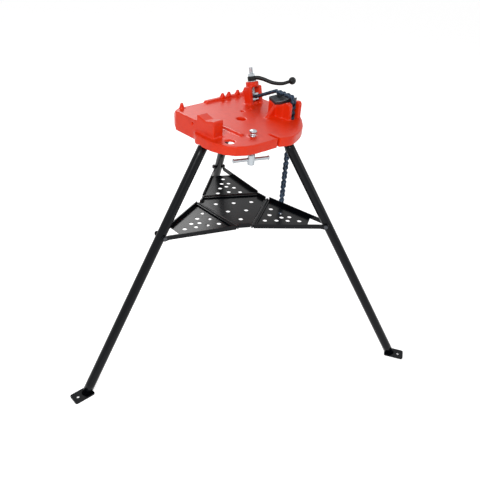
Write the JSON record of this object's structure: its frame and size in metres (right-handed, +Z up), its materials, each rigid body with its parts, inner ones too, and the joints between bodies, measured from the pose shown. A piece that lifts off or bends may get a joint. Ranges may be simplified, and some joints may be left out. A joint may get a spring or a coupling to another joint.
{
  "type": "tripod chain vise stand",
  "caption": "Free-standing tripod pipe vise: cast red base with a screw-tightened chain vise on folding tube legs, with a folding perforated tool tray between them.",
  "frame": {"origin": "on the floor under the middle of the outline box", "axes": "+Z up, +X from the rear rest to the chain vise, +Y from the near fork to the far fork"},
  "size_m": [1.1349, 1.3082, 0.9909],
  "materials": {
    "casting": "gloss red-orange enamel over cast iron",
    "black_enamel": "gloss black enamel on steel",
    "forged": "black forged iron",
    "jaw_steel": "dark hardened steel",
    "zinc": "zinc plated steel",
    "chain_steel": "blued chain steel"
  },
  "bodies": {
    "base": {"base_casting": "casting", "jaw_far": "jaw_steel", "jaw_near": "jaw_steel", "jaw_screw_1": "jaw_steel", "jaw_screw_2": "jaw_steel", "jaw_screw_3": "jaw_steel", "jaw_screw_4": "jaw_steel", "leg_pin_rear": "jaw_steel", "leg_pin_right": "jaw_steel", "leg_pin_left": "jaw_steel"},
    "leg_rear": {"leg_rear": "black_enamel", "leg_tang_rear": "forged", "foot_rear": "black_enamel"},
    "leg_right": {"leg_right": "black_enamel", "leg_tang_right": "forged", "foot_right": "black_enamel"},
    "leg_left": {"leg_left": "black_enamel", "leg_tang_left": "forged", "foot_left": "black_enamel"},
    "tray_centre": {"tray_centre": "black_enamel", "tray_rod_rear": "jaw_steel", "tray_rod_right": "jaw_steel", "tray_rod_left": "jaw_steel"},
    "wing_rear": {"tray_wing_rear": "black_enamel", "wing_bolt_rear_a": "jaw_steel", "wing_bolt_rear_b": "jaw_steel"},
    "wing_right": {"tray_wing_right": "black_enamel", "wing_bolt_right_a": "jaw_steel", "wing_bolt_right_b": "jaw_steel"},
    "wing_left": {"tray_wing_left": "black_enamel", "wing_bolt_left_a": "jaw_steel", "wing_bolt_left_b": "jaw_steel"},
    "crank": {"chain_screw": "zinc", "thrust_washer": "zinc", "crank_handle": "forged", "crank_ball": "forged", "crank_nut": "zinc"},
    "chain_clamp": {"travelling_nut": "zinc", "chain_nut_pin": "jaw_steel", "chain_run": "chain_steel"},
    "chain_tail": {"chain_tail": "chain_steel"},
    "brace_cap": {"brace_cap": "zinc"},
    "brace_screw": {"brace_screw": "zinc"},
    "brace_bar": {"brace_bar": "zinc"}
  },
  "joints": [
    {"name": "leg_fold_rear", "type": "hinge", "parent": "base", "child": "leg_rear", "pos_m": [0.01314, 0, 0.835], "axis": [0, -1, 0], "range_deg": [0, 26]},
    {"name": "leg_fold_right", "type": "hinge", "parent": "base", "child": "leg_right", "pos_m": [0.25704, -0.14082, 0.835], "axis": [0.866, 0.5, 0], "range_deg": [0, 26]},
    {"name": "leg_fold_left", "type": "hinge", "parent": "base", "child": "leg_left", "pos_m": [0.25704, 0.14082, 0.835], "axis": [-0.866, 0.5, 0], "range_deg": [0, 26]},
    {"name": "tray_lift", "type": "slide", "parent": "base", "child": "tray_centre", "axis": [0, 0, 1], "range_m": [0, 0.1882]},
    {"name": "wing_fold_rear", "type": "hinge", "parent": "tray_centre", "child": "wing_rear", "pos_m": [0.07974, 0, 0.53], "axis": [0, -1, 0], "range_deg": [0, 67.5]},
    {"name": "wing_fold_right", "type": "hinge", "parent": "tray_centre", "child": "wing_right", "pos_m": [0.22374, -0.08314, 0.53], "axis": [0.866, 0.5, 0], "range_deg": [0, 67.5]},
    {"name": "wing_fold_left", "type": "hinge", "parent": "tray_centre", "child": "wing_left", "pos_m": [0.22374, 0.08314, 0.53], "axis": [-0.866, 0.5, 0], "range_deg": [0, 67.5]},
    {"name": "crank_turn", "type": "hinge", "parent": "base", "child": "crank", "pos_m": [0.38074, 0.1463, 0.86], "axis": [0, 0.2419, 0.9703], "range_deg": [0, 1080]},
    {"name": "chain_slack", "type": "slide", "parent": "base", "child": "chain_clamp", "axis": [0, 0.2419, 0.9703], "range_m": [0, 0.0151]},
    {"name": "tail_swing", "type": "hinge", "parent": "chain_clamp", "child": "chain_tail", "pos_m": [0.38074, -0.05, 0.81757], "axis": [1, 0, 0], "range_deg": [-15, 15]},
    {"name": "brace_lift", "type": "slide", "parent": "base", "child": "brace_cap", "axis": [0, 0, 1], "range_m": [0, 0.0301]},
    {"name": "brace_turn", "type": "hinge", "parent": "brace_cap", "child": "brace_screw", "pos_m": [0.13874, -0.096, 0.8], "axis": [0, 0, 1], "range_deg": [0, 2160]},
    {"name": "bar_slide", "type": "slide", "parent": "brace_screw", "child": "brace_bar", "axis": [0.9272, -0.3746, 0], "range_m": [-0.03, 0.03]}
  ],
  "couplings": [
    {"joint": "leg_fold_right", "follows": "leg_fold_rear", "ratio": 1},
    {"joint": "leg_fold_left", "follows": "leg_fold_rear", "ratio": 1},
    {"joint": "tray_lift", "follows": "leg_fold_rear", "m_per_rad": 0.41357},
    {"joint": "wing_fold_rear", "follows": "leg_fold_rear", "ratio": 2.5885},
    {"joint": "wing_fold_right", "follows": "leg_fold_rear", "ratio": 2.5885},
    {"joint": "wing_fold_left", "follows": "leg_fold_rear", "ratio": 2.5885},
    {"joint": "chain_slack", "follows": "crank_turn", "m_per_rad": 0.00079577},
    {"joint": "brace_lift", "follows": "brace_turn", "m_per_rad": 0.00079577}
  ]
}
